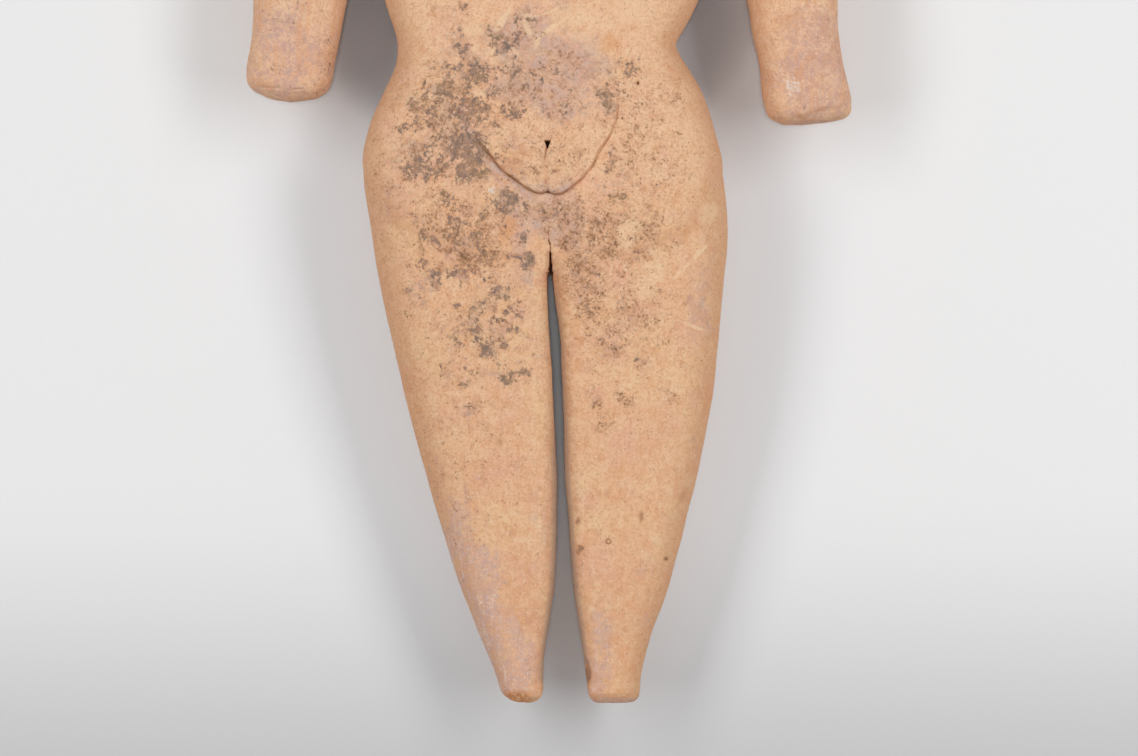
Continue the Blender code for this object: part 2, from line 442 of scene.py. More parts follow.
def refined(mesh, zone):
    zone = zone(readPoints(mesh))
    fine = bmesh.new()
    fine.from_mesh(mesh)
    fine.verts.ensure_lookup_table()
    edges = [e for e in fine.edges if zone[e.verts[0].index] and zone[e.verts[1].index]]
    bmesh.ops.subdivide_edges(fine, edges=edges, cuts=1, use_grid_fill=True)
    bmesh.ops.triangulate(fine, faces=[f for f in fine.faces if len(f.verts) > 4])
    fine.to_mesh(mesh)
    fine.free()
    return mesh


def piercing(points, x, top, bottom, width, depth):
    # How far a three-cornered hole sinks each point. A negative width stands on its point.
    reach = (top - points[:, 1]) / (top - bottom)
    taper = np.clip(reach if width > 0 else 1 - reach, 0, 1)
    half = abs(width) / 2 * (1 - 0.85 * taper)
    inside = (half - np.abs(points[:, 0] - x)) / 0.3
    inside = np.minimum(inside, np.minimum(reach / 0.1, (1.05 - reach) / 0.1))
    return depth * np.clip(inside, 0, 1)


def ledgeWander(points):
    noise = LumpyNoise(skin["seed"] + 13)
    return 0.08 * noise(points, 2.6) + 0.25 * noise(points, 7)


def carvePubis(points, normals):
    x, h, z = points.T
    area = (z > 28) & (np.abs(x) < 48) & (h > 178) & (h < 262) & (normals[:, 2] > 0.2)
    spots = points[area]
    noise = LumpyNoise(skin["seed"] + 11)
    wander = ledgeWander(spots)
    distance, side, (proud, drawn) = fromMark(spots, "ledge")
    side = side + wander
    inside = rise(-0.3, 0.3, side)
    raised = proud * inside * (0.35 + 0.65 * bell(side, marks["ledgeReach"]))
    # Far inside, the lift dies away into the belly.
    raised *= 1 - rise(10, 34, distance) * inside
    hollow = 0.4 * proud * (1 - inside) * bell(side, marks["hollowReach"])
    line = drawn * bell(side + 0.3, marks["grooveWidth"])
    # On the softer side a second fainter line runs inside the first.
    twin = within(6, 24, 4, spots[:, 0]) * bell(side - 1.5, 0.5)
    groove = marks["grooveDepth"] * line * (1 - 0.3 * noise(spots, 1.7))
    lift = raised - hollow - groove - 0.3 * twin
    # A low cushion on each side of the cleft, and the folds beside it.
    u, v = spots[:, 0] + 0.6, spots[:, 1]
    lift += 0.8 * bell(np.abs(u) - 7, 7) * bell(v - 200, 7) * inside
    for offset, depth, end in ((1.9, 0.14, -3), (3.0, 0.16, -4), (4.4, 0.1, -7)):
        lift -= depth * bell(side - offset, 0.35) * within(end - 10, end, 2, u)
    # The cleft.
    away, _, (depth, halfWidth) = fromMark(spots, "cleft")
    lift -= depth * bell(away, halfWidth)
    lift += 0.2 * bell(away - 1.8, 1.0) * within(196, 206, 3, v)
    points[area, 2] += lift
    for hole in marks["piercings"]:
        points[area, 2] -= piercing(spots, *hole)
    return points


def carveCrotch(points, normals):
    x, h, z = points.T
    area = (z > 30) & (np.abs(x) < 9) & (h > 158) & (h < 184) & (normals[:, 2] > 0.1)
    spots = points[area]
    away, _, (depth, halfWidth) = fromMark(spots, "crotchCrack")
    lift = depth * bell(away, halfWidth)
    # Below the crack a slit opens between the thighs.
    away, _, (halfWidth,) = fromMark(spots, "slit")
    edge = LumpyNoise(skin["seed"] + 12)(spots, 1.4)
    inside = np.clip((halfWidth + 0.18 * edge - away) / 0.22, 0, 1) * (spots[:, 1] < 173)
    lift += marks["slitDepth"] * inside + 0.5 * bell(away, 1.6) * (1 - rise(168, 176, spots[:, 1]))
    points[area, 2] -= lift
    return points


bluntEnds = {
    # How far the blunt hands are worn back: x and length.
    "rightHand": (
        (-115, 0.2), (-112, 1.0), (-109, 1.6), (-103.5, 0.8), (-98, 0), (-90.5, 0.8), (-85, 0.8),
        (-82, 1.2),
    ),
    "leftHand": (
        (82, 0), (83.5, 0.4), (85, 0.8), (87, 1.0), (90, 0.6), (97, 0.7), (106, 1.7), (111, 2.2),
        (114, 2.0), (115.5, 1.4),
    ),
    "foldDepth": 0.7,
    "toeChip": 2.6,
    "soleChip": 2.2,
    # Bruises on the left foot beside the gap: x, height and radius.
    "bruises": ((12.8, 14.0, 2.7), (13.4, 10.8, 2.0)),
}


def shapeEnds(points, _):
    # The hands end aslant and the corners of the stumps are worn.
    x, h, z = points.T
    lift = np.interp(x, *zip(*bluntEnds["rightHand"]))
    points[:, 1] += lift * (x < -78) * (1 - rise(229, 240, h))
    lift = np.interp(x, *zip(*bluntEnds["leftHand"]))
    points[:, 1] += lift * (x > 76) * (1 - rise(221, 234, h))
    # The right hand's lower rim folds under along a drawn line.
    hand = (x < -78) & (z > 26) & (h < 240)
    line = 232.6 - 0.06 * (x + 108) - 0.9 * bell(x + 112, 3)
    fold = bluntEnds["foldDepth"] * bell(h - line, 0.45)
    points[:, 2] -= hand * fold * within(-111.5, -101.5, 2, x)
    nick = 0.5 * bell(h - 231.7 - 0.1 * (x + 94), 0.4)
    points[:, 2] -= hand * nick * within(-95.8, -92.4, 0.8, x)
    points[:, 2] -= hand * 0.9 * (1 - rise(-3.2, 0.2, h - line))
    # The left hand's rim leans back above its worn end.
    hand = (x > 78) & (z > 26) & (h < 232)
    line = 222.5 + 0.27 * (x - 96)
    rim = 1.2 * (1 - rise(-1.4, 1.0, h - line)) + 0.15 * bell(h - line - 0.8, 0.6)
    points[:, 2] -= hand * rim
    return points


def wearFeet(points, _):
    x, h, z = points.T
    rough = LumpyNoise(skin["seed"] + 5)(points, 1.6)
    # The right foot is chipped across its toe, the left foot beside the gap.
    tip = (x < 0) & (h < 9) & (z > 22)
    chip = bluntEnds["toeChip"] - 0.5 * h - 0.03 * (x + 11.5) ** 2 + 0.9 * rough
    points[:, 2] -= tip * np.clip(chip, 0, 2.4)
    sole = (x > 12) & (h < 8) & (z > 26)
    points[:, 2] -= sole * np.clip(bluntEnds["soleChip"] - 0.5 * h + 0.15 * rough, 0, 2.2)
    for cx, ch, size in bluntEnds["bruises"]:
        chip = np.sqrt((x - cx) ** 2 + ((h - ch) / 1.35) ** 2 + ((z - 34) / 1.8) ** 2)
        gone = (x > 8) * np.clip(size - chip + 0.8 * rough, 0, 2.1)
        points[:, 0] += 0.8 * gone
        points[:, 2] -= 0.9 * gone
    return points


head = {
    "eyeAside": 12,
    "eyeHeight": 390.6,
    "eyeHalfSides": (6.3, 3.4),
    "lidDepth": 1.7,
    "browHeight": 397.6,
    "mouthHeight": 366.8,
    "earHeight": 387,
    "hairStrands": 46,
    "hairDepth": 1.5,
    # The hairline: the turn from the brow round to the nape, and its height there.
    "hairline": (
        (0, 412), (0.55, 410), (0.95, 404), (1.25, 396), (1.45, 386), (1.75, 374), (2.3, 364),
        (math.pi, 361),
    ),
}


def modelHead(points, normals):
    x, h, z = points.T
    aside = np.abs(x)
    above = h > 352
    front = above & (z > 34)
    push = np.zeros(len(points))
    # Almond eyes with a drawn slit, under low brows.
    halfWidth, halfHeight = head["eyeHalfSides"]
    u = (aside - head["eyeAside"]) / halfWidth
    v = (h - head["eyeHeight"] - 0.8 * u) / halfHeight
    lid = head["lidDepth"] * np.sqrt(np.clip(1 - u**2 - v**2, 0, 1))
    push += front * (lid - 0.55 * bell((u**2 + v**2) - 1.25, 0.35) * (u**2 + v**2 < 2.4))
    push -= front * 0.75 * bell(v, 0.17) * (1 - rise(0.65, 0.9, np.abs(u)))
    brow = head["browHeight"] - 0.04 * (aside - 10) ** 2
    push += front * 0.75 * bell(h - brow, 1.7) * within(5, 19, 3, aside)
    push -= front * 0.9 * bell(aside - 9, 4) * bell(h - 394, 3.0)
    # The mouth's line, the groove above it and the nostrils.
    mouth = head["mouthHeight"] - 0.012 * aside**2
    push -= front * 0.8 * bell(h - mouth, 0.5) * (1 - rise(6.6, 8.2, aside))
    push -= front * 0.35 * bell(aside, 1.1) * within(369.4, 372, 1, h)
    push -= front * 1.4 * bell(np.hypot(aside - 2.1, h - 373.2), 0.85) * (z > 50)
    push += front * 0.5 * bell(np.hypot(aside - 15, h - 376), 8)
    # Each ear has a bowl inside its rim.
    ear = above & (aside > 29.5) & (np.abs(h - head["earHeight"]) < 10)
    push -= ear * 1.5 * bell(np.hypot((z - 28) / 3.2, (h - 388.5) / 5), 0.75)
    # Hair: a raised cap with combed lines, from a hairline that runs down behind the ears.
    turn = np.arctan2(aside, z - 27)
    edge = np.interp(turn, *zip(*head["hairline"]))
    cap = above * rise(-0.7, 0.7, h - edge)
    notEar = 1 - within(29.2, 40, 0.6, aside) * within(378, 396, 1, h)
    combed = 0.5 + 0.5 * np.sin(turn * head["hairStrands"] + 0.05 * (h - 400))
    push += cap * notEar * (head["hairDepth"] - 0.42 * combed**2)
    push -= above * 0.4 * bell(h - edge + 1.0, 0.9) * notEar
    # The parting runs back from the brow.
    push -= cap * 0.5 * bell(x, 0.8) * (z > 27)
    return points + normals * push[:, None]


backMarks = {
    "spineDepth": 1.3,
    "cleftDepth": 3.4,
    "foldDepth": 0.5,
    "kneeFolds": ((-26, 96), (29, 96)),  # x and height
}


def modelBack(points, normals):
    # A shallow spine, the cleft of the buttocks, and a stroke behind each knee.
    x, h, z = points.T
    behind = (z < 20) & (normals[:, 2] < -0.2)
    spine = backMarks["spineDepth"] * bell(x, 5) * within(236, 318, 18, h)
    cleft = backMarks["cleftDepth"] * bell(x, 2.6) * within(176, 214, 12, h)
    points[:, 2] += behind * (spine + cleft)
    for middle, height in backMarks["kneeFolds"]:
        fold = behind * backMarks["foldDepth"] * bell(h - height, 2.2)
        points[:, 2] += fold * within(middle - 12, middle + 12, 6, x)
    return points


wear = {
    # Unevenness left by the hands: how high, how wide, and where its noise is read.
    "swells": ((0.42, 26, 300), (0.2, 11, 70), (0.07, 4.5, 0)),
    "dragDepth": 0.055,
    "sandDepth": 0.045,
    "pits": 420,
    "pitRadius": (0.5, 1.15),
    "pitDepth": (0.12, 0.34),
}


def weather(points, normals):
    # Hand-smoothed unevenness, drag marks, sandy pits and pricked holes.
    noise = LumpyNoise(skin["seed"])
    x, h, z = points.T
    push = sum(depth * noise(points + shift, size) for depth, size, shift in wear["swells"])
    drag = noise(points * (1, 0.09, 1) + 40, 2.6)
    push += wear["dragDepth"] * drag * np.abs(normals[:, 2])
    push += wear["sandDepth"] * noise(points + 9, 1.5)
    order = np.argsort(h)
    sortedHeights = h[order]
    picks = np.random.default_rng(skin["seed"] + 1)
    for share in picks.uniform(0, 1, wear["pits"]):
        centre = points[order[int(share * (len(points) - 1))]]
        radius = picks.uniform(*wear["pitRadius"])
        depth = picks.uniform(*wear["pitDepth"])
        low, high = np.searchsorted(sortedHeights, (centre[1] - 2 * radius, centre[1] + 2 * radius))
        near = order[low:high]
        near = near[np.abs(points[near] - centre).max(1) < radius * 2]
        push[near] -= depth * bell(np.linalg.norm(points[near] - centre, axis=1), radius)
    for px, ph, ringRadius, width, depth, _ in marks["pricks"]:
        near = (z > 16) & (np.hypot(x - px, h - ph) < ringRadius + width * 2.5)
        push[near] -= depth * bell(np.hypot(x[near] - px, h[near] - ph) - ringRadius, width)
    return points + normals * push[:, None]


def modelledFigure():
    mesh = pressedClay()
    print("pressed clay:", len(mesh.vertices), "points")
    points = readPoints(mesh)
    x, h, z = points.T
    aside = np.abs(x)
    # The places where neighbouring limbs melt into each other.
    joins = (
        within(283, 348, 8, h) * within(38, 98, 10, aside),  # shoulders
        within(326, 362, 5, h) * (aside < 40),  # neck
        within(150, 262, 14, h) * (1 - rise(10, 18, z)),  # buttocks
        within(196, 262, 8, h) * rise(28, 38, z) * (1 - rise(52, 66, aside)),  # belly
        0.5 * within(274, 324, 6, h) * rise(28, 36, z) * (aside < 70),  # breasts
        0.8 * within(177, 196, 3, h) * rise(34, 40, z) * (aside < 34),  # groin
    )
    points = relax(points, readEdges(mesh), np.max(joins, axis=0), skin["blendRounds"])
    points = relax(points, readEdges(mesh), np.full(len(points), 0.8), 3)
    writePoints(mesh, points)
    print("limbs melted together")
    mesh = refined(mesh, fineZone)
    points = readPoints(mesh)
    points = relax(points, readEdges(mesh), fineZone(points) * 0.8, 3)
    writePoints(mesh, points)
    print("refined:", len(mesh.vertices), "points")
    for step in (shapeEnds, wearFeet, modelHead, modelBack, carvePubis, carveCrotch, weather):
        writePoints(mesh, points)
        points = step(points, readNormals(mesh))
    points[:, 2] = np.maximum(points[:, 2], 0)  # it lies on flats worn at its back
    writePoints(mesh, points)
    print("marks carved")
    kept = markZone(points)
    piece = placed("clayFigure", mesh)
    plain = piece.vertex_groups.new(name="plain")
    plain.add(np.flatnonzero(~kept).tolist(), 1.0, "REPLACE")
    triangles = sum(len(face.vertices) - 2 for face in mesh.polygons)
    thin = piece.modifiers.new("thin", "DECIMATE")
    thin.ratio = min(1, skin["faces"] / triangles)
    thin.vertex_group = "plain"  # the drawn marks keep all their faces
    thin.vertex_group_factor = 0
    final = applied(piece)
    print("kept at the marks:", int(kept.sum()), "points")
    final.name = "clayFigure"
    final.shade_smooth()
    print("figure:", len(final.polygons), "faces")
    return placed("clayFigure", final)


figure = modelledFigure()

patina = {
    # Grey-brown film on the front: x, height, half-width, half-height, density.
    "film": (
        (-27, 238, 9, 5, 0.95), (-40, 238, 5, 3, 0.7), (-48.5, 227, 4.6, 4.2, 0.92),
        (-34, 229, 8.6, 5.2, 0.98), (-19, 229, 4.8, 3, 1.0), (-31, 220, 9.5, 5.2, 0.95),
        (-44, 218.5, 3, 4, 0.9), (-51, 217.5, 5, 1.8, 0.9), (-40, 212, 5, 3.4, 0.75),
        (-31.5, 210.5, 7.4, 5.8, 1.1), (-26, 202, 7.6, 6.6, 1.1), (-12, 221, 5.4, 2.4, 1.0),
        (-16, 247.5, 4.4, 3.8, 0.95), (-9, 256, 5, 4, 0.7), (-18, 246, 3, 3, 0.8),
        (-3, 233, 4, 2.2, 0.75), (7, 224, 3, 2.2, 0.7), (-5.5, 233, 8, 3.6, 0.65),
        (-32.5, 248, 4.0, 5.0, 0.75), (-42, 266, 3, 1.2, 0.6), (-32, 262.5, 3, 1.6, 0.8),
        (4, 262, 3.4, 1.8, 0.45), (22, 226.5, 3.6, 5, 0.9), (29.5, 238.5, 4, 3.4, 0.85),
        (-12, 237.5, 4, 3, 0.8), (22.8, 202.5, 2.4, 3, 0.92), (2, 220, 3.2, 2.6, 0.5),
        (-46.5, 200.5, 10, 5.8, 1.05), (-41.5, 208, 3.2, 3, 0.9), (-51, 209, 3.4, 2.2, 0.75),
        (-47, 196.5, 6.4, 1.8, 0.65), (-37, 189, 1.8, 1.5, 0.95), (-16, 188.5, 4.3, 5.8, 1.2),
        (-25, 185, 1.9, 3.2, 0.95), (-33, 182, 4.6, 2.4, 0.98), (-29, 176.5, 7, 2.6, 0.95),
        (-9, 185, 1.6, 2.8, 0.9), (-44, 175, 1.7, 1.7, 0.95), (-47.6, 167.2, 2.2, 1.8, 0.98),
        (-24, 166.5, 4, 3.2, 0.98), (-33, 162.5, 4, 2.7, 1.02), (-41.2, 160.6, 2.3, 3, 0.98),
        (-50.5, 155, 1.8, 1.8, 0.92), (-18, 157, 3.2, 2.2, 0.95), (-7.3, 164, 1.4, 4, 0.95),
        (-9, 173.7, 1.4, 2.2, 0.95), (-13.2, 168.5, 1.2, 1.4, 0.9), (-24, 151, 4.2, 2.6, 1.0),
        (-34.3, 152.6, 1.6, 1.5, 1.0), (-15, 149, 1.2, 2.8, 1.0), (-10.5, 146.5, 1.1, 4, 0.85),
        (-26, 141, 3, 2.7, 0.94), (-18.8, 143.2, 1.4, 1.4, 0.92), (-13, 140, 1.2, 1.6, 0.85),
        (-34, 137.5, 3, 4, 0.8), (-24, 134, 2.8, 4.8, 0.96), (-17, 135.5, 1.5, 2.8, 0.95),
        (-13.5, 124.5, 2.4, 2.6, 0.98), (-8, 126, 1.6, 2.2, 0.95), (-38, 126, 1.3, 3.4, 0.92),
        (-30, 121.5, 1.8, 1.3, 0.98), (26, 190.5, 2.8, 1.8, 0.88), (41, 192, 2.8, 3.4, 0.6),
        (38, 177.5, 4.6, 4, 0.66), (31, 164.5, 2.8, 7.4, 0.5), (16, 181, 3.6, 3.4, 0.5),
        (3.5, 188, 5, 8, 0.62), (-7, 190, 4, 4, 0.5), (25.5, 139, 3, 2.4, 0.5),
        (26, 131.5, 2.4, 1.4, 0.6), (34, 128, 1.5, 1.8, 0.62), (17.5, 134, 1.8, 2, 0.5),
        (-30.5, 111.5, 1.7, 1.4, 0.88), (-19, 99.5, 1.2, 1.2, 0.88),
    ),
    # Wide drifts of loose flakes between the dense places.
    "filmDrift": (
        (-34, 226, 18, 15, 0.6), (-38, 206, 18, 12, 0.58), (-22, 212, 8, 12, 0.5),
        (-12, 232, 14, 8, 0.52), (-14, 250, 10, 8, 0.5), (4, 236, 12, 9, 0.44),
        (24, 230, 9, 12, 0.4), (-28, 184, 18, 9, 0.44), (-30, 172, 16, 10, 0.46),
        (-22, 162, 14, 8, 0.4), (-22, 146, 13, 14, 0.4), (-24, 130, 10, 10, 0.34),
        (-46, 158, 8, 14, 0.3), (26, 196, 14, 10, 0.3), (32, 178, 14, 12, 0.37),
        (12, 180, 8, 12, 0.38), (16, 162, 10, 14, 0.34), (26, 140, 10, 12, 0.34),
        (-34, 262, 8, 4, 0.3), (2, 188, 8, 7, 0.56),
    ),
    # Looser dark specks, given in the same way.
    "speckle": (
        (-36, 216, 24, 28, 0.62), (-34, 178, 24, 20, 0.66), (-26, 170, 13, 9, 0.9),
        (-26, 142, 24, 26, 0.52), (17, 172, 13, 13, 0.87), (10, 178, 7, 12, 0.85),
        (11, 160, 6, 14, 0.85), (-30, 176, 11, 7, 0.75), (28, 178, 20, 18, 0.66),
        (14, 154, 8, 10, 0.8), (33.5, 147, 6.5, 6.5, 0.75), (24, 136, 12, 10, 0.62),
        (26, 150, 26, 30, 0.5), (30, 216, 17, 24, 0.6), (44, 200, 14, 16, 0.5),
        (0, 204, 22, 14, 0.58), (2, 240, 20, 12, 0.42), (-2, 228, 22, 16, 0.5),
        (0, 184, 9, 8, 0.72), (-38, 258, 10, 6, 0.4), (4, 258, 9, 5, 0.35),
        (28.5, 114.5, 3.2, 3, 0.75), (46, 116, 2.6, 3.2, 0.7), (16.5, 114.5, 3.6, 3.4, 0.75),
        (20, 105, 4.4, 4, 0.78), (-30, 120, 8, 6, 0.5), (-44, 105.5, 1.6, 1.8, 0.8),
        (-17, 78, 1.4, 1.4, 0.8), (-46, 140, 14, 30, 0.3), (14, 80, 10, 30, 0.25),
        (-98, 250, 14, 22, 0.45), (-84, 240, 3, 14, 0.6), (41, 176, 10, 12, 0.6),
        (-54, 160, 10, 32, 0.42), (30, 150, 22, 30, 0.56), (40, 225, 14, 16, 0.5),
        (2, 205, 16, 11, 0.66), (-34, 95, 24, 45, 0.42), (-60, 192, 9, 30, 0.45),
    ),
    # Pinkish-grey slip left in low places.
    "lilac": (
        (2, 236, 16, 15, 1.1), (-10, 250, 12, 10, 0.85), (14, 243, 9, 9, 0.75),
        (-30, 250, 8, 8, 0.3), (-6, 262, 12, 4, 0.35), (-1, 185.5, 11, 9, 1.0), (6, 180, 5, 9, 0.6),
        (-8, 168, 4, 14, 0.55), (58, 151, 5, 21, 0.5), (-12, 16, 7, 18, 0.95),
        (-23, 30, 6, 30, 1.05), (-34, 54, 6, 20, 0.8), (-4, 60, 5, 20, 0.35),
        (19, 16, 4.5, 18, 0.75), (24, 0.6, 10, 1.4, 0.9), (36, 40, 3, 20, 0.3),
        (-99, 247, 17, 26, 0.68), (101, 240, 16, 26, 1.0), (-14, 200, 6, 5, 0.5),
    ),
    # Rust-orange stains. The narrow strips at x 5 and 8 are painted shade along the left leg's
    # inner edge beside the gap.
    "stain": (
        (24, 247, 4.4, 4.4, 0.85), (-14, 178.5, 2.2, 3, 1.0), (-30, 172, 16, 18, 0.4),
        (-11.5, 3.4, 4.6, 2.6, 1.9), (-14, 204, 8, 6, 0.6), (-8, 40, 3, 18, 0.6),
        (-10, 68, 8, 18, 0.3), (13.4, 13.2, 1.6, 2.8, 1.3), (28, 26, 5, 24, 0.3),
        (-49, 232, 8, 12, 0.28), (5, 150, 2.2, 30, 0.5), (8, 132, 3, 26, 0.5),
        (61, 118, 4, 24, 0.45), (-52, 100, 6, 40, 0.4), (-13, 198, 8, 3.2, 0.4), (24, 3, 8, 3, 0.6),
        (28, 170, 20, 26, 0.3), (10, 160, 4, 12, 0.4), (100, 244, 20, 26, 0.5),
    ),
    # Painted shade in the bruise on the left foot, and brown darkening in small dents.
    "grimeAndShade": (
        (15.2, 11.8, 1.3, 3.4, 0.6), (10.7, 69.6, 1.0, 2.0, 0.66), (35.2, 72.8, 0.8, 1.7, 0.6),
        (50.2, 80.1, 2.4, 1.2, 0.42), (12.4, 59.1, 0.8, 1.1, 0.66), (-18.6, 99.5, 1.2, 1.6, 0.45),
    ),
    # White grains and smears.
    "white": (
        (-22, 192, 1.9, 2.2, 0.8), (92, 233.5, 3.4, 3.2, 0.85), (92.5, 228, 5, 1.6, 0.5),
        (-24, 38, 7, 22, 0.42), (25, 3.4, 8, 1.2, 0.5),
    ),
    # Pale scrapes: x, height, half-length, half-width, angle in degrees, strength.
    "scrapes": (
        (-17, 256.5, 7, 1.5, 59, 0.95), (-7.8, 253.7, 4.6, 1.2, -69, 0.9),
        (-6.8, 258.3, 3.8, 1.0, -3, 0.9), (0.8, 253.3, 4.8, 1.1, 38, 0.95),
        (-3.8, 247.8, 3.2, 1.1, 70, 0.85), (3.4, 255, 8.4, 0.8, 35, 0.8),
        (2.7, 260.7, 6.6, 0.7, 21, 0.7), (8, 258, 9, 5, 15, 0.45), (20, 255, 5, 4, -10, 0.4),
        (-28, 252, 6, 1.7, -8, 0.55), (-21.8, 245, 2.6, 2, 20, 0.7),
        (-12, 245, 2.4, 0.9, -50, 0.75), (12, 250, 5, 2.6, -12, 0.5), (16, 246, 4.6, 3, 0, 0.5),
        (-25.6, 229, 3.2, 2.2, -20, 0.65), (31, 261, 9, 7, 0, 0.4), (56.4, 170, 5.2, 1.2, 45, 0.8),
        (49.6, 163, 5.8, 1.1, 49, 0.8), (60, 185, 6, 4, 60, 0.5), (30, 178, 9, 5, 80, 0.6),
        (38, 160, 9, 6, 70, 0.6), (27, 176, 6, 0.7, 96, 0.8), (55, 142.3, 6.4, 0.9, -21, 0.7),
        (29, 163.2, 3.8, 0.7, -77, 0.75), (23.4, 165, 7.2, 0.6, 90, 0.75),
        (-9.5, 186, 7, 0.8, -74, 0.5),
    ),
    "buffClays": ((0.79, 0.455, 0.268, 1), (0.80, 0.50, 0.285, 1)),
    "pinkClay": (0.765, 0.42, 0.285, 1),
    "paleClay": (0.92, 0.605, 0.415, 1),
    "darkClay": (0.585, 0.285, 0.14, 1),
    "redClay": (0.73, 0.37, 0.20, 1),
    "mauveSlip": (0.64, 0.395, 0.305, 1),
    "deepMauve": (0.51, 0.31, 0.235, 1),
    "blueSlip": (0.52, 0.40, 0.38, 1),
    "lipHighlightGrey": (0.60, 0.50, 0.45, 1),
    "frostWhite": (0.88, 0.745, 0.64, 1),
    "pinkBloom": (0.575, 0.365, 0.31, 1),
    "hazeBrown": (0.30, 0.21, 0.155, 1),
    "chipOrange": (0.64, 0.25, 0.09, 1),
    "rust": (0.68, 0.30, 0.115, 1),
    "filmGrey": (0.172, 0.125, 0.11, 1),
    "filmBrown": (0.235, 0.155, 0.085, 1),
    "washBrown": (0.50, 0.30, 0.165, 1),
    "speckBrown": (0.175, 0.085, 0.038, 1),
    "paleScrape": (0.83, 0.58, 0.37, 1),
    "scrapedClay": (0.86, 0.615, 0.385, 1),
    "whiteGrain": (0.86, 0.78, 0.68, 1),
    "creamGrain": (0.90, 0.70, 0.52, 1),
    "crackDark": (0.06, 0.032, 0.018, 1),
    # Brown for painted shade beside the gap between the legs, and for dark crumbs in chips.
    "gapShadeAndChipBrown": (0.45, 0.21, 0.105, 1),
    # Grey for the deepest painted shade beside the gap, below the crotch.
    "gapShadeGrey": (0.28, 0.25, 0.22, 1),
    "gapShadeReach": 8.0,
    "outlineShadeReach": 13.0,
    "roughness": (0.72, 0.9),  # on the film, and on bare clay
    "slipCover": 0.44,
    "scrapeCover": 0.85,
    "filmCover": (0.48, 0.96),  # where it is thin, and where it is thick
    "speckCover": 0.8,
    "grainCover": 0.62,
    # How high sand, mottles, drag marks, film and pale grains stand, and how deep pits are,
    # in millimetres.
    "reliefHeights": (0.1, 0.16, 0.05, 0.03, 0.04, 0.14),
    "backFilm": 0.62,
}


def spread(points, patches):
    # How dense a set of soft-rimmed patches is at each point on the front.
    bend = LumpyNoise(skin["seed"] + 30)
    x = points[:, 0] + 2.6 * bend(points, 8) + 1.3 * bend(points + 40, 3.2)
    h = points[:, 1] + 2.6 * bend(points + 80, 8) + 1.3 * bend(points + 120, 3.2)
    z = points[:, 2]
    total = np.zeros(len(points))
    for cx, ch, across, along, density in patches:
        reach = np.hypot((x - cx) / (across + 1), (h - ch) / (along + 1))
        np.maximum(total, density * (1 - rise(0.4, 1.5, reach)), out=total)
    return total * rise(12, 22, z)


def grimeAndShadeAt(points):
    # Darkening in the drawn lines, the holes, the crack and the slit: partly dirt held there, and
    # painted shade deep in the holes and the slit.
    x, h, z = points.T
    front = z > 26
    grimeAndShade = np.zeros(len(points))
    area = front & (np.abs(x) < 34) & (h > 157) & (h < 240)
    spots = points[area]
    _, side, (_, drawn) = fromMark(spots, "ledge")
    rightward = rise(4, 14, spots[:, 0])
    held = (0.6 - 0.15 * rightward) * np.minimum(drawn, 1)
    held = held * bell(side + ledgeWander(spots) + 0.3, 0.34 + 0.3 * rightward)
    away, _, (depth, halfWidth) = fromMark(spots, "cleft")
    held = np.maximum(held, 0.75 * depth * bell(away, halfWidth))
    for *hole, depth in marks["piercings"]:
        held = np.maximum(held, min(1.6, 0.8 * depth) * piercing(spots, *hole, 1.0))
    away, _, (depth, halfWidth) = fromMark(spots, "crotchCrack")
    held = np.maximum(held, np.minimum(depth, 1) * bell(away, halfWidth))
    away, _, (halfWidth,) = fromMark(spots, "slit")
    deep = rise(0, 2.5, 46 - spots[:, 2]) * (away < halfWidth + 0.4)
    deep *= 1 - rise(172.5, 174, spots[:, 1])
    held = np.maximum(held, 0.8 * deep * rise(160.5, 163, spots[:, 1]))
    grimeAndShade[area] = held
    for px, ph, ringRadius, width, _, darkening in marks["pricks"]:
        away = np.hypot(x - px, h - ph) - ringRadius
        grimeAndShade = np.maximum(grimeAndShade, darkening * bell(away, width) * (z > 16))
    return grimeAndShade


def besideEdge(points, name, side, reach):
    # 1 along one side of a limb's outline, and 0 from a reach inside it.
    rows = limbs[name]["levels"]
    heights, edges = ([row[column] for row in rows] for column in (0, 2 if side > 0 else 1))
    inward = side * (np.interp(points[:, 1], heights, edges) - points[:, 0])
    return (1 - rise(0, reach, inward)) * (inward > -2)


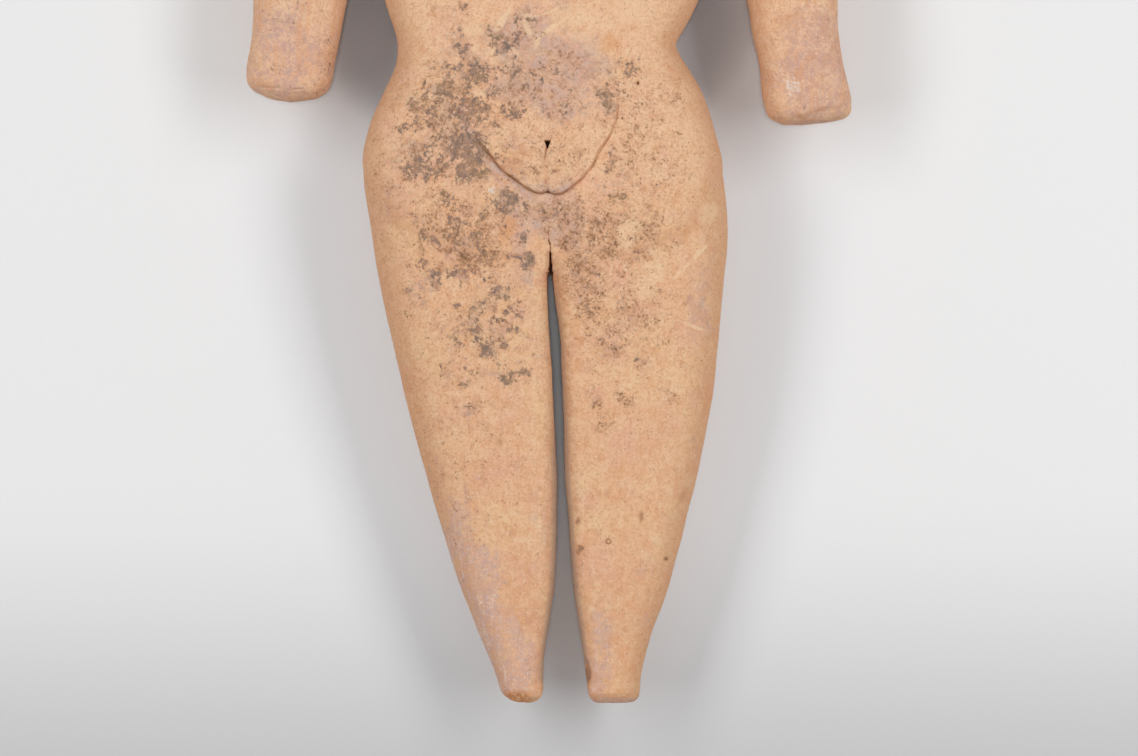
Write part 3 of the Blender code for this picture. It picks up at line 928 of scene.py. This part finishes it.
def paintFigure(mesh):
    points = readPoints(mesh)
    x, h, z = points.T
    noise = LumpyNoise(skin["seed"] + 20)
    film = np.maximum(0.84 * spread(points, patina["film"]), spread(points, patina["filmDrift"]))
    speckle = spread(points, patina["speckle"])
    lilac = spread(points, patina["lilac"])
    # The back and the upper body carry looser drifts of the same film.
    hidden = np.maximum(1 - rise(14, 24, z), rise(268, 290, h))
    drift = rise(0.18, 0.75, noise(points, 24) + 0.35 * noise(points + 50, 9))
    bareFace = rise(350, 358, h) * (1 - rise(402, 410, h)) * rise(30, 38, z)
    film = np.maximum(film, patina["backFilm"] * drift * hidden * (1 - bareFace))
    speckle = np.maximum(speckle, 0.5 * rise(0, 0.7, noise(points + 90, 17)) * hidden)
    lilac = np.maximum(lilac, 0.5 * rise(0.1, 0.8, noise(points + 170, 30)) * hidden)
    # Slip lies thick in the hollow outside the ledge.
    front = (z > 28) & (np.abs(x) < 36) & (h > 184) & (h < 225)
    _, side, _ = fromMark(points[front], "ledge")
    band = within(-3.4, -0.5, 0.8, side) * (1 - rise(4, 14, x[front]))
    lilac[front] = np.maximum(lilac[front], 0.95 * band)
    # A painted highlight: a pale grey band along the ledge's lower lip, laid over thick slip.
    lipHighlight = within(-2.2, -0.9, 0.5, side) * within(-25, -9, 3, x[front])
    lilac[front] = np.maximum(lilac[front], 1.7 * lipHighlight)
    film[front] *= 1 - 0.75 * band * rise(-24, -19, x[front])
    # Painted shade along both sides of the gap between the legs, where their rounded inner edges
    # turn away from the light.
    gapShade = np.zeros(len(points))
    for name, less in (("rightLeg", 0.75), ("leftLeg", 0.0)):
        darkening = besideEdge(points, name, limbs[name]["innerSide"], patina["gapShadeReach"])
        darkening *= rise(15, 22, z)
        darkening *= within(10, 166, 8, h) * (1 - less * rise(90, 130, h))
        gapShade = np.maximum(gapShade, darkening)
    # Painted shade: the outline is a little darker, where the sides turn away from the light.
    outline = np.zeros(len(points))
    for name, side in (("rightLeg", -1), ("leftLeg", 1), ("torso", -1), ("torso", 1)):
        low, *_, high = (level[0] for level in limbs[name]["levels"])
        near = besideEdge(points, name, side, patina["outlineShadeReach"])
        outline = np.maximum(outline, near * within(low + 4, high - 8, 6, h))
    fields = {
        "gapShade": gapShade,
        "outline": outline,
        "film": film,
        "speckle": speckle,
        "lilac": lilac,
        "stain": spread(points, patina["stain"]),
        "white": spread(points, patina["white"]),
        "grimeAndShade": np.maximum(grimeAndShadeAt(points), spread(points, patina["grimeAndShade"])),
    }
    for name, values in fields.items():
        layer = mesh.attributes.new(name, "FLOAT", "POINT")
        layer.data.foreach_set("value", values.astype(np.float32))


paintFigure(figure.data)
print("patina laid on")


class Wire:
    # A shader value that takes part in plain sums.
    def __init__(self, board, socket):
        self.board = board
        self.socket = socket

    def work(self, operation, *values):
        return self.board.add("ShaderNodeMath", {"operation": operation}, dict(enumerate(values)))

    def __add__(self, other):
        return self.work("ADD", self, other)

    def __sub__(self, other):
        return self.work("SUBTRACT", self, other)

    def __rsub__(self, other):
        return self.work("SUBTRACT", other, self)

    def __mul__(self, other):
        return self.work("MULTIPLY", self, other)

    __radd__ = __add__
    __rmul__ = __mul__

    def most(self, other):
        return self.work("MAXIMUM", self, other)

    def rise(self, low, high):
        # 0 at low, 1 at high, and a soft step between. It falls where low is the greater.
        start, end = (0, 1) if low < high else (1, 0)
        return self.board.add(
            "ShaderNodeMapRange",
            {"interpolation_type": "SMOOTHSTEP"},
            {0: self, 1: min(low, high), 2: max(low, high), 3: start, 4: end},
        )


class Board:
    # A material's nodes.
    def __init__(self, name):
        self.material = bpy.data.materials.new(name)
        self.material.use_nodes = True
        self.tree = self.material.node_tree
        self.shader = self.tree.nodes["Principled BSDF"]

    def add(self, kind, settings=None, sockets=None, output=0):
        node = self.tree.nodes.new(kind)
        for setting, value in (settings or {}).items():
            setattr(node, setting, value)
        for socket, value in (sockets or {}).items():
            self.plug(node.inputs[socket], value)
        return Wire(self, node.outputs[output])

    def plug(self, socket, value):
        if isinstance(value, Wire):
            self.tree.links.new(value.socket, socket)
        else:
            socket.default_value = value

    def mix(self, share, first, second):
        return self.add("ShaderNodeMix", {"data_type": "RGBA"}, {0: share, 6: first, 7: second}, 2)

    def painted(self, name):
        return self.add("ShaderNodeAttribute", {"attribute_name": name}, output="Fac")

    def parts(self, place, axes="XYZ"):
        return [self.add("ShaderNodeSeparateXYZ", {}, {0: place}, axis) for axis in axes]

    def stretched(self, place, scale=(1, 1, 1), shift=(0, 0, 0)):
        sockets = {"Vector": place, "Scale": scale, "Location": shift}
        return self.add("ShaderNodeMapping", {}, sockets)

    def noise(self, place, size, detail=3.0, roughness=0.55):
        return self.add(
            "ShaderNodeTexNoise",
            {},
            {"Vector": place, "Scale": 1 / size, "Detail": detail, "Roughness": roughness},
        )

    def swayed(self, place, scale, amount):
        # The place, moved about a little by soft noise.
        sockets = {"Vector": place, "Scale": scale, "Detail": 2.0}
        sway = self.add("ShaderNodeTexNoise", {}, sockets, "Color")
        moved = {0: sway, 1: (amount,) * 3, 2: place}
        return self.add("ShaderNodeVectorMath", {"operation": "MULTIPLY_ADD"}, moved)

    def dots(self, place, size, radius, share):
        # Round dots of random size in a given share of even cells.
        settings = {"voronoi_dimensions": "3D", "feature": "F1"}
        sockets = {"Vector": place, "Scale": 1 / size, "Randomness": 1.0}
        away = self.add("ShaderNodeTexVoronoi", settings, sockets, "Distance")
        pick = self.add("ShaderNodeTexVoronoi", settings, sockets, "Color")
        chance = self.add("ShaderNodeSeparateColor", {}, {0: pick})
        return away.rise(radius, radius * 0.55) * chance.work("LESS_THAN", chance, share)


class ClayBoard(Board):
    # The clay's nodes: where they are, what lies on the mesh, the noises that several layers share,
    # and the colour so far. Noise sizes are in millimetres.
    def __init__(self):
        super().__init__("firedClay")
        source = self.add("ShaderNodeTexCoord", output="Object")
        self.place = self.stretched(source, (1 / mm,) * 3, (0, -soleY / mm, -backZ / mm))
        self.across, self.along, self.depth = self.parts(self.place)
        self.film = self.painted("film")
        self.speckle = self.painted("speckle")
        self.lilac = self.painted("lilac")
        self.stain = self.painted("stain")
        self.white = self.painted("white")
        self.grimeAndShade = self.painted("grimeAndShade")
        self.gapShade = self.painted("gapShade")
        self.outline = self.painted("outline")
        # Noises are read aslant, so that no edge follows their cells.
        turn = {"Vector": self.place, "Rotation": (0.6, 0.45, 0.5)}
        self.turned = self.add("ShaderNodeMapping", {}, turn)
        self.mottle = self.clouds(2.2, 4, 0.65)
        self.grain = self.clouds(0.85, 4, 0.68)
        self.blotch = self.clouds(5.5, 4, 0.7)
        self.flecks = self.clouds(2.6, 4, 0.72)
        self.veils = self.clouds(10, 6, 0.68)
        self.dotty = self.clouds(1.25, 4, 0.7)
        self.thin = self.clouds(1.5, 5, 0.75)
        self.crumbs = self.clouds(1.0, 4, 0.62)
        self.drag = self.noise(self.stretched(self.place, (1, 0.07, 1)), 1.1, 3, 0.6)
        self.streak = self.noise(self.stretched(self.place, (1, 0.1, 1)), 2.4, 3, 0.6)
        self.crumbled = self.swayed(self.place, 1.1, 0.9)
        self.coarse = 0.75 + 0.25 * self.along.rise(70, 140)
        self.shins = self.along.rise(110, 80)
        self.stumps = self.shins.most((self.across * self.across).rise(4900, 6400))
        self.colour = self.mix(self.clouds(24, 4, 0.6).rise(0.42, 0.62), *patina["buffClays"])

    def clouds(self, size, detail=3.0, roughness=0.55):
        return self.noise(self.turned, size, detail, roughness)

    def coat(self, share, tone):
        # Lays a tone over the colour so far.
        self.colour = self.mix(share, self.colour, patina[tone] if isinstance(tone, str) else tone)


def layBuffClay(clay):
    # Soft clouds, finely mottled and sandy, with faint drag marks, and painted shade darkening the
    # low sides and the outline.
    clay.coat(clay.clouds(15, 3).rise(0.5, 0.68) * 0.8, "pinkClay")
    clay.coat(0.3 * clay.along.rise(165, 215), "paleClay")
    clay.coat(clay.blotch.rise(0.48, 0.66) * 0.58, "redClay")
    clay.coat(clay.blotch.rise(0.47, 0.34) * 0.48, "paleScrape")
    clay.coat(clay.mottle.rise(0.46, 0.68) * 0.36, "darkClay")
    clay.coat(clay.mottle.rise(0.46, 0.3) * 0.32, "paleScrape")
    clay.coat(clay.drag.rise(0.5, 0.72) * 0.4, "paleScrape")
    clay.coat(clay.grain.rise(0.5, 0.66) * 0.56 * clay.coarse, "darkClay")
    clay.coat(clay.grain.rise(0.48, 0.34) * 0.56 * clay.coarse, "paleScrape")
    # Painted shade on the low sides and along the outline.
    clay.coat((clay.depth.rise(42, 26) * 0.25).most(clay.outline * 0.45), "darkClay")


def layScrapes(clay):
    # They cut through the slip and the film, which come later.
    sway = 1.6
    bent = clay.swayed(clay.place, 0.2, sway)
    cuts = []
    for x, height, length, width, angle, strength in patina["scrapes"]:
        sockets = {
            "Vector": bent,
            "Location": (x + sway / 2, height + sway / 2, 45),
            "Rotation": (0, 0, math.radians(angle)),
            "Scale": (length, width, 30),
        }
        local = clay.add("ShaderNodeMapping", {"vector_type": "TEXTURE"}, sockets)
        reach = clay.add("ShaderNodeVectorMath", {"operation": "LENGTH"}, {0: local}, "Value")
        cuts.append(reach.rise(1.1, 0.5) * strength)
    clay.scraped = functools.reduce(Wire.most, cuts) * clay.flecks.rise(0.34, 0.47)
    clay.coat(clay.scraped * patina["scrapeCover"], "scrapedClay")


def laySlip(clay):
    # A soft mauve veil, drawn out in streaks below the knees and frosty on the stumps.
    slip = 0.85 * clay.lilac + 0.5 * clay.film + 0.3 * clay.speckle
    drawn = 1.5 * (clay.streak - 0.5) * clay.shins
    veil = (slip + 2.0 * (clay.veils - 0.5) + 1.4 * (clay.flecks - 0.5) + drawn).rise(0.15, 0.95)
    veil = veil * (1 - 0.8 * clay.scraped)
    tone = clay.mix(clay.flecks.rise(0.4, 0.6), patina["mauveSlip"], patina["deepMauve"])
    tone = clay.mix(clay.clouds(4, 4, 0.6).rise(0.46, 0.6) * 0.72, tone, patina["blueSlip"])
    tone = clay.mix(clay.stumps, tone, patina["pinkBloom"])
    sandy = clay.stumps * ((clay.grain + clay.mottle).rise(0.9, 1.1) - 0.4)
    thickness = patina["slipCover"] + 0.28 * clay.blotch.rise(0.4, 0.56) + 0.5 * sandy
    clay.coat(veil * thickness, tone)
    # The painted highlight along the ledge's lower lip, in pale grey.
    clay.coat(clay.lilac.rise(1.3, 1.6) * clay.mottle.rise(0.36, 0.5) * 0.6, "lipHighlightGrey")
    reddened = clay.stumps * (clay.streak + 0.6 * (clay.blotch - 0.5)).rise(0.5, 0.66)
    clay.coat(reddened * 0.45, "redClay")
    frost = veil * clay.lilac * (clay.grain + 0.7 * clay.streak).rise(0.86, 1.0) * clay.shins
    clay.coat(frost * 0.42, "frostWhite")


def layRust(clay):
    # Orange stains, and fresh chips where they are strongest.
    rusty = (clay.stain + 1.4 * (clay.mottle - 0.5) + 2.4 * (clay.veils - 0.5)).rise(0.25, 1.05)
    chipped = clay.stain.rise(1.2, 1.6)
    clay.coat(rusty * (0.5 + 0.4 * chipped), "rust")
    clay.coat(chipped * 0.75, "chipOrange")
    clay.coat(chipped * clay.dotty.rise(0.5, 0.62) * 0.6, "paleScrape")
    clay.coat(chipped * clay.dotty.rise(0.47, 0.36) * 0.6, "gapShadeAndChipBrown")


def layFilm(clay):
    # Lichen-like flakes that run together, with a rusty rim and a soft haze where thin.
    ragged = clay.clouds(3.6, 5, 0.62)
    score = clay.film * 0.8 + 2.0 * (ragged - 0.5) + 1.9 * (clay.dotty - 0.5) - 0.6 * clay.scraped
    clay.covered = score.rise(0.55, 0.62)
    clay.coat(score.rise(0.24, 0.5) * clay.film.rise(0.1, 0.5) * 0.26, "rust")
    haze = clay.film * 0.75 + 1.6 * (clay.veils - 0.5) + 1.2 * (clay.flecks - 0.5)
    clay.coat(haze.rise(0.3, 0.8) * clay.film.rise(1.1, 0.7) * 0.28, "hazeBrown")
    browner = clay.clouds(8, 5, 0.68).rise(0.48, 0.62)
    low, high = patina["filmCover"]
    thickness = low + (high - low) * clay.thin.rise(0.38, 0.62)
    clay.coat(clay.covered * thickness, clay.mix(browner, patina["filmGrey"], patina["filmBrown"]))


def laySpecks(clay):
    # Fine specks in clusters over a brown wash, and a few strays everywhere.
    cluster = clay.clouds(5, 4, 0.65) - 0.5
    ground = clay.speckle.most(clay.clouds(18, 2).rise(0.52, 0.75) * 0.25).most(0.1)
    clay.coat((ground * 0.8 + 1.6 * cluster).rise(0.3, 0.9) * 0.2, "washBrown")
    pepper = ground * 0.55 + 1.2 * cluster + 1.7 * (clay.crumbs - 0.5) + 0.6 * (clay.flecks - 0.5)
    clay.coat(pepper.rise(0.28, 0.48) * 0.3, "darkClay")
    strong = pepper.rise(0.44, 0.64) * clay.thin.rise(0.34, 0.62)
    clay.coat(strong * patina["speckCover"], "speckBrown")
    faded = 0.5 - 0.35 * (clay.lilac * clay.stumps)
    strays = ((1.7, 0.22, 0.11 - 0.08 * clay.coarse, 0.2), (1.0, 0.32, 0.03, 0.3))
    for size, radius, least, more in strays:
        dots = clay.dots(clay.crumbled, size, radius, least + more * ground)
        clay.coat(dots * faded, "speckBrown")


def layGrains(clay):
    # Cream grains, and white ones that run together into smears.
    share = 0.56 - 0.4 * clay.coarse + 0.5 * clay.white + 0.35 * (clay.lilac * clay.stumps)
    clay.grains = clay.dots(clay.crumbled, 1.5, 0.2, share)
    clay.coat(clay.grains * patina["grainCover"], "creamGrain")
    crusts = clay.white + 1.4 * (clay.crumbs - 0.5) + 1.2 * (clay.mottle - 0.5)
    clay.coat(crusts.rise(0.6, 0.95) * 0.6, "whiteGrain")


def layDirt(clay):
    # Painted shade beside the gap between the legs, and darkening in every line and hole, partly
    # dirt and partly painted shade.
    gap = clay.gapShade + 0.8 * (clay.mottle - 0.5)
    clay.coat(gap.rise(0.1, 1.0) * 0.52, "gapShadeAndChipBrown")
    clay.coat(clay.gapShade.rise(0.72, 1.0) * clay.along.rise(162, 150) * 0.4, "gapShadeGrey")
    clay.coat(clay.grimeAndShade.rise(0.05, 0.5) * 0.6, "darkClay")
    # Near-black where the darkening is strongest: painted shade in the slit, the crack and the
    # holes, and dirt in the lines.
    clay.coat((clay.grimeAndShade + 0.5 * (clay.dotty - 0.5)).rise(0.3, 1.0), "crackDark")


def firedClay():
    clay = ClayBoard()
    for lay in (layBuffClay, layScrapes, laySlip, layRust, layFilm, laySpecks, layGrains, layDirt):
        lay(clay)
    sandUp, mottleUp, dragUp, filmUp, grainUp, pitDown = patina["reliefHeights"]
    height = sandUp * clay.grain + mottleUp * clay.mottle + dragUp * clay.drag
    height = height + filmUp * clay.covered + grainUp * clay.grains
    height = height - pitDown * clay.dots(clay.place, 1.5, 0.3, 0.22)
    relief = clay.add("ShaderNodeBump", {}, {"Strength": 0.9, "Distance": mm, "Height": height})
    low, high = patina["roughness"]
    clay.plug(clay.shader.inputs["Base Color"], clay.colour)
    clay.plug(clay.shader.inputs["Roughness"], high - (high - low) * clay.covered)
    clay.plug(clay.shader.inputs["Normal"], relief)
    clay.shader.inputs["Specular IOR Level"].default_value = 0.3
    return clay.material


figure.data.materials.clear()
figure.data.materials.append(firedClay())
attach(figure, "root")
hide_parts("figure")
print("clay finished")

studio = {
    "floorColour": (0.855, 0.85, 0.845, 1),
    "floorNearColour": (0.82, 0.835, 0.855, 1),  # it takes back the clay's warm glow
    "floorNear": (0.15, 0.06),
    "floorWaistShadowColour": (0.56, 0.575, 0.60, 1),  # a painted shadow of the body on the floor beside the waist
    "floorWaistShadow": (-0.007, 0.043, 0.08, 0.048),  # middle and half sides of that place
    "floorFarShadeColour": (0.575, 0.57, 0.57, 1),  # painted fall-off of the light: it darkens beyond the feet
    "floorFade": (-0.13, -0.27),
    "floorSide": 6.0,
    # Place from the middle of the view, sides of the panel, and power.
    "lights": {
        "leftStrip": ((-0.85, 0.22, 0.95), (1.4, 0.4), 7.2),
        "rightStrip": ((0.86, 0.22, 0.95), (1.4, 0.4), 8.1),
        "topFill": ((0, 0, 1.6), (0.1, 0.1), 3.4),
        "footFill": ((0, -0.9, 0.9), (1.4, 0.5), 1.2),
    },
    "roomColour": (0.95, 0.97, 1.0, 1),
    "ambient": 0.22,
    "viewWidth": 0.4324,  # how much of the floor's width the camera takes in
    "viewCentre": (0.0078, -0.0919),
    "outlineDepth": 0.025,  # the height of the figure's widest outline
    "cameraDistance": 1.1,
    "sensor": 36.0,
}


def paleFloor():
    board = Board("paleFloor")
    spot = board.add("ShaderNodeTexCoord", output="Object")
    across, along = board.parts(spot, "XY")
    away = across.work("SQRT", across * across + 0.12 * along * along)
    near = away.rise(*studio["floorNear"])
    colour = board.mix(near, studio["floorColour"], studio["floorNearColour"])
    # A painted shadow darkens the floor beside the waist.
    middleX, middleY, halfWidth, halfLength = studio["floorWaistShadow"]
    aside = (across - middleX) * (1 / halfWidth)
    onward = (along - middleY) * (1 / halfLength)
    shaded = (aside * aside + onward * onward).rise(1.25, 0.75)
    colour = board.mix(shaded, colour, studio["floorWaistShadowColour"])
    # Painted fall-off of the light: the floor darkens towards and beyond the feet.
    colour = board.mix(along.rise(*studio["floorFade"]), colour, studio["floorFarShadeColour"])
    board.plug(board.shader.inputs["Base Color"], colour)
    board.shader.inputs["Roughness"].default_value = 0.9
    board.shader.inputs["Specular IOR Level"].default_value = 0.2
    return board.material


bpy.ops.mesh.primitive_plane_add(size=studio["floorSide"], location=(0, 0, backZ))
floor = bpy.context.object
floor.name = "floor"
floor.data.materials.append(paleFloor())

world = bpy.data.worlds.new("paleRoom")
world.use_nodes = True
bpy.context.scene.world = world
room = world.node_tree.nodes["Background"].inputs
room["Color"].default_value = studio["roomColour"]
room["Strength"].default_value = studio["ambient"]


def addLight(name, place, sides, power):
    light = bpy.data.lights.new(name, "AREA")
    light.energy = power
    light.shape = "RECTANGLE"
    light.size, light.size_y = sides
    lamp = placed(name, light)
    lamp.location = Vector((*studio["viewCentre"], 0)) + Vector(place)
    lamp.rotation_euler = (-Vector(place)).to_track_quat("-Z", "Y").to_euler()


for name, panel in studio["lights"].items():
    addLight(name, *panel)

cameraData = bpy.data.cameras.new("camera")
camera = placed("camera", cameraData)
cameraData.sensor_width = studio["sensor"]
cameraData.lens = studio["sensor"] * studio["cameraDistance"] / studio["viewWidth"]
camera.location = (*studio["viewCentre"], backZ + studio["outlineDepth"] + studio["cameraDistance"])
bpy.context.scene.camera = camera
bpy.context.scene.view_settings.view_transform = "Standard"
print("studio set")
